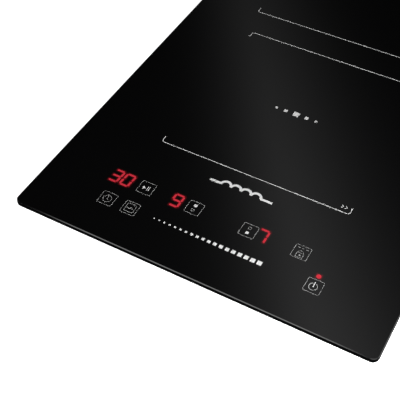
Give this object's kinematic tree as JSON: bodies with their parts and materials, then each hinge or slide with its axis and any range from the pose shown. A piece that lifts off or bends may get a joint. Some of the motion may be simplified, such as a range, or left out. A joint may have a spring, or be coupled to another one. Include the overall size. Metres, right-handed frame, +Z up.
{
  "type": "induction cooktop",
  "caption": "Narrow built-in induction cooktop: black glass top with printed zones and lit touch controls over a sheet-metal pan with coils, boards, blower and fixing clips.",
  "frame": {"origin": "under the middle of the glass, on the plane that the pan stands on", "axes": "+X right and +Y to the rear as the user stands at the controls, +Z up"},
  "size_m": [0.289, 0.52, 0.058],
  "materials": {
    "black_glass": "polished black glass ceramic, opaque",
    "zone_ink": "fired white enamel print",
    "control_ink": "fired grey enamel print",
    "lit_red": "lit red light-emitting segments seen through the glass",
    "seal_foam": "closed-cell foam tape",
    "silicone": "cured silicone bead",
    "rail_steel": "galvanised steel angle",
    "pan_steel": "hot-dip galvanised sheet steel",
    "zinc_screw": "bright zinc-plated steel",
    "tray_aluminium": "mill-finish aluminium sheet",
    "pin_steel": "turned steel",
    "carrier_plastic": "heat-resistant moulded plastic",
    "copper_litz": "enamelled copper litz wire",
    "ferrite": "sintered ferrite",
    "mica": "pressed mica sheet",
    "sensor_silicone": "white silicone with a black sensor bead",
    "spring_steel": "spring steel wire",
    "lead_copper": "varnished sleeve over litz wire",
    "holder_plastic": "moulded off-white plastic",
    "board_green": "printed circuit board with solder mask",
    "display_black": "black display body",
    "spring_brass": "plated spring wire",
    "ribbon_grey": "grey flat cable",
    "sink_aluminium": "extruded aluminium",
    "transistor_black": "moulded epoxy package",
    "capacitor_yellow": "film capacitor case",
    "parts_mixed": "moulded electronic parts",
    "fan_plastic": "glass-filled black plastic",
    "motor_steel": "laminated motor steel",
    "shaft_steel": "ground steel shaft",
    "box_plastic": "moulded flame-retardant plastic",
    "terminal_plastic": "moulded terminal block",
    "cover_plastic": "moulded flame-retardant plastic",
    "gland_plastic": "moulded polyamide",
    "clip_steel": "zinc-plated pressed steel",
    "wire_sleeve": "insulated wire"
  },
  "bodies": {
    "housing": {"glass_plate": "black_glass", "zone_print": "zone_ink", "control_print": "control_ink", "lit_displays": "lit_red", "worktop_seal": "seal_foam", "glass_adhesive": "silicone", "side_rails": "rail_steel", "end_rails": "rail_steel", "bottom_pan": "pan_steel", "rear_panel": "pan_steel", "pan_screws": "zinc_screw", "coil_tray": "tray_aluminium", "tray_posts": "zinc_screw", "coil_guide_pins": "pin_steel", "control_holder": "holder_plastic", "control_board": "board_green", "digit_displays": "display_black", "control_springs": "spring_brass", "ribbon_cable": "ribbon_grey", "power_board": "board_green", "board_fasteners": "zinc_screw", "heatsink": "sink_aluminium", "power_transistors": "transistor_black", "power_capacitors": "capacitor_yellow", "board_parts": "parts_mixed", "filter_board": "board_green", "filter_parts": "parts_mixed", "fan_grille": "fan_plastic", "blower_housing": "fan_plastic", "blower_cover": "fan_plastic", "fan_motor": "motor_steel", "air_duct": "fan_plastic", "terminal_box": "box_plastic", "terminal_block": "terminal_plastic", "cover_hinge": "pan_steel", "cable_gland": "gland_plastic", "gland_nuts": "gland_plastic", "clip_fasteners": "zinc_screw", "mains_wires": "wire_sleeve"},
    "fan": {"fan_rotor": "fan_plastic", "fan_shaft": "shaft_steel"},
    "front_coil": {"front_coil_carrier": "carrier_plastic", "front_winding": "copper_litz", "front_ferrites": "ferrite", "front_mica": "mica", "front_sensor": "sensor_silicone", "front_coil_springs": "spring_steel", "front_coil_leads": "lead_copper"},
    "rear_coil": {"rear_coil_carrier": "carrier_plastic", "rear_winding": "copper_litz", "rear_ferrites": "ferrite", "rear_mica": "mica", "rear_sensor": "sensor_silicone", "rear_coil_springs": "spring_steel", "rear_coil_leads": "lead_copper"},
    "terminal_cover": {"terminal_cover": "cover_plastic"},
    "clip_front_left": {"clip_front_left": "clip_steel"},
    "clip_front_right": {"clip_front_right": "clip_steel"},
    "clip_rear_left": {"clip_rear_left": "clip_steel"},
    "clip_rear_right": {"clip_rear_right": "clip_steel"}
  },
  "joints": [
    {"name": "fan_spin", "type": "hinge", "parent": "housing", "child": "fan", "pos_m": [0.056, 0.176, 0.016], "axis": [0, 0, 1], "continuous": true},
    {"name": "front_coil_float", "type": "slide", "parent": "housing", "child": "front_coil", "axis": [0, 0, 1], "range_m": [-0.003, 0], "stiffness_N_per_m": 6000, "springref_m": 0.003, "deforming": ["front_coil_springs", "front_coil_leads"]},
    {"name": "rear_coil_float", "type": "slide", "parent": "housing", "child": "rear_coil", "axis": [0, 0, 1], "range_m": [-0.003, 0], "stiffness_N_per_m": 6000, "springref_m": 0.003, "deforming": ["rear_coil_springs", "rear_coil_leads"]},
    {"name": "terminal_cover_hinge", "type": "hinge", "parent": "housing", "child": "terminal_cover", "pos_m": [-0.091, 0.2386, 0.0045], "axis": [-1, 0, 0], "range_deg": [0, 90]},
    {"name": "clip_front_left_swivel", "type": "hinge", "parent": "housing", "child": "clip_front_left", "pos_m": [-0.121, -0.15, 0.013], "axis": [0, 0, 1], "range_deg": [0, 90]},
    {"name": "clip_front_right_swivel", "type": "hinge", "parent": "housing", "child": "clip_front_right", "pos_m": [0.121, -0.15, 0.013], "axis": [0, 0, -1], "range_deg": [0, 90]},
    {"name": "clip_rear_left_swivel", "type": "hinge", "parent": "housing", "child": "clip_rear_left", "pos_m": [-0.121, 0.15, 0.013], "axis": [0, 0, -1], "range_deg": [0, 90]},
    {"name": "clip_rear_right_swivel", "type": "hinge", "parent": "housing", "child": "clip_rear_right", "pos_m": [0.121, 0.15, 0.013], "axis": [0, 0, 1], "range_deg": [0, 90]}
  ]
}
